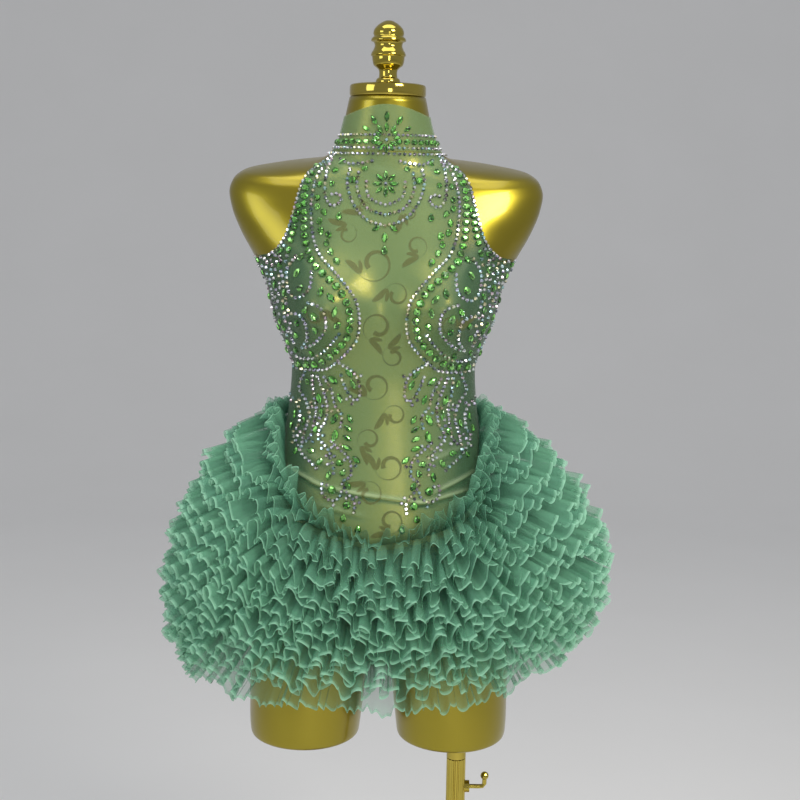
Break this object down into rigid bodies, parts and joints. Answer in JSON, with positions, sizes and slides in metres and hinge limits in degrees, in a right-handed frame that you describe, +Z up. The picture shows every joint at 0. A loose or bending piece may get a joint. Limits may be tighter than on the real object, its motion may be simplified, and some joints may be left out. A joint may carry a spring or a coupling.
{
  "type": "mesh stage bodysuit with a ruffled skirt on a limbless dress form stand",
  "caption": "High-neck mesh stage bodysuit with a full tulle ruffle skirt, shown on a limbless dress form with a pole stand.",
  "frame": {"origin": "centre of the base plate's underside, on the floor", "axes": "+Z up, along the form's height; the garment's front faces -Y; +X is the viewer's right"},
  "size_m": [0.5482, 0.4796, 1.4111],
  "materials": {
    "sage_mesh": "sheer stretch mesh",
    "sage_tulle": "crisp gathered tulle",
    "snap_metal": "polished",
    "gold_gloss": "gold, glossy",
    "gold_chrome": "gold, mirror polished"
  },
  "bodies": {
    "stand": {"base_plate": "gold_chrome", "pole_tube": "gold_chrome"},
    "lever": {"clamp_lever": "gold_chrome"},
    "rod": {"pole_rod": "gold_chrome"},
    "dressed_form": {"form_torso": "gold_gloss", "neck_cap": "gold_chrome", "finial": "gold_chrome", "front_panel": "sage_mesh", "back_left": "sage_mesh", "back_right": "sage_mesh", "collar": "sage_mesh", "collar_tab": "sage_mesh", "collar_snap_left": "snap_metal", "collar_snap_right": "snap_metal", "ruffle_1": "sage_tulle", "ruffle_2": "sage_tulle", "ruffle_3": "sage_tulle", "ruffle_4": "sage_tulle", "ruffle_5": "sage_tulle", "ruffle_6": "sage_tulle", "ruffle_7": "sage_tulle", "ruffle_8": "sage_tulle"}
  },
  "joints": [
    {"name": "clamp_turn", "type": "hinge", "parent": "stand", "child": "lever", "pos_m": [0.134, 0, 0.483], "axis": [1, 0, 0], "range_deg": [0, 180]},
    {"name": "height_slide", "type": "slide", "parent": "stand", "child": "rod", "axis": [0, 0, 1], "range_m": [0, 0.25]},
    {"name": "form_swivel", "type": "hinge", "parent": "rod", "child": "dressed_form", "pos_m": [0.098, 0, 0.6], "axis": [0, 0, 1], "range_deg": [-90, 90]}
  ]
}
